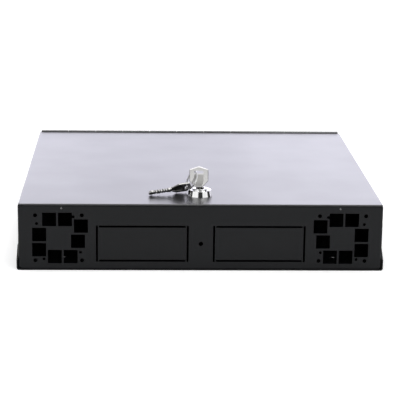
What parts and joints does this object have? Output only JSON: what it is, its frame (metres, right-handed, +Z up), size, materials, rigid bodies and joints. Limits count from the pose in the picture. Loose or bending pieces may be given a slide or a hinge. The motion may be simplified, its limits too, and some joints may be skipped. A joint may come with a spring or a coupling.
{
  "type": "rack equipment lock box",
  "caption": "Low black sheet-steel equipment lock box with a rear-hinged lid, a chrome cam lock with keys, fan vent patterns and knock-out plates in the front wall.",
  "frame": {"origin": "centre of the case in plan, on the underside of the bottom pan", "axes": "+X to the right seen from the front, +Y to the rear hinge, +Z up"},
  "size_m": [0.3972, 0.4018, 0.1063],
  "materials": {
    "case_paint": "satin black powder coat, fine texture",
    "lid_paint": "semi-gloss black powder coat, fine texture",
    "hinge_black": "black coated rolled steel",
    "rivet_black": "black coated dome heads",
    "steel": "drawn bright steel",
    "zinc": "zinc plated",
    "lock_chrome": "polished chrome plate",
    "wafer_brass": "stamped brass",
    "key_nickel": "nickel plated, satin recess",
    "ring_nickel": "nickel plated spring wire"
  },
  "bodies": {
    "case": {"case_wrap": "case_paint", "bottom_pan": "case_paint", "rear_panel": "case_paint", "front_rail": "case_paint", "front_rivets": "rivet_black", "corner_rivets": "rivet_black", "hinge_leaf_case": "hinge_black", "hinge_pin": "steel", "hinge_rivets": "rivet_black"},
    "lid": {"lid_panel": "lid_paint", "lid_stiffener_left": "case_paint", "lid_stiffener_right": "case_paint", "hinge_leaf_lid": "hinge_black", "lock_collar": "lock_chrome", "lock_housing": "lock_chrome", "lock_washer": "zinc", "lock_nut": "zinc"},
    "lock_plug": {"lock_plug": "lock_chrome", "wafers": "wafer_brass", "cam": "zinc", "cam_washer": "zinc", "cam_screw": "zinc"},
    "key": {"working_key": "key_nickel"},
    "key_ring": {"key_ring": "ring_nickel"},
    "spare_key": {"spare_key": "key_nickel"}
  },
  "joints": [
    {"name": "lid_hinge", "type": "hinge", "parent": "case", "child": "lid", "pos_m": [0, 0.19775, 0.0732], "axis": [-1, 0, 0], "range_deg": [0, 180]},
    {"name": "lock_turn", "type": "hinge", "parent": "lid", "child": "lock_plug", "pos_m": [0, -0.158, 0.0735], "axis": [0, 0, -1], "range_deg": [0, 90]},
    {"name": "key_slide", "type": "slide", "parent": "lock_plug", "child": "key", "axis": [0, 0, 1], "range_m": [0, 0.024]},
    {"name": "ring_swing", "type": "hinge", "parent": "key", "child": "key_ring", "pos_m": [-0.0049, -0.158, 0.1], "axis": [-0.3278, 0.9415, 0.078], "range_deg": [0, 50]},
    {"name": "spare_key_swing", "type": "hinge", "parent": "key_ring", "child": "spare_key", "pos_m": [-0.00927, -0.15877, 0.09093], "axis": [0.8398, 0.3281, -0.4326], "range_deg": [0, 50]}
  ]
}
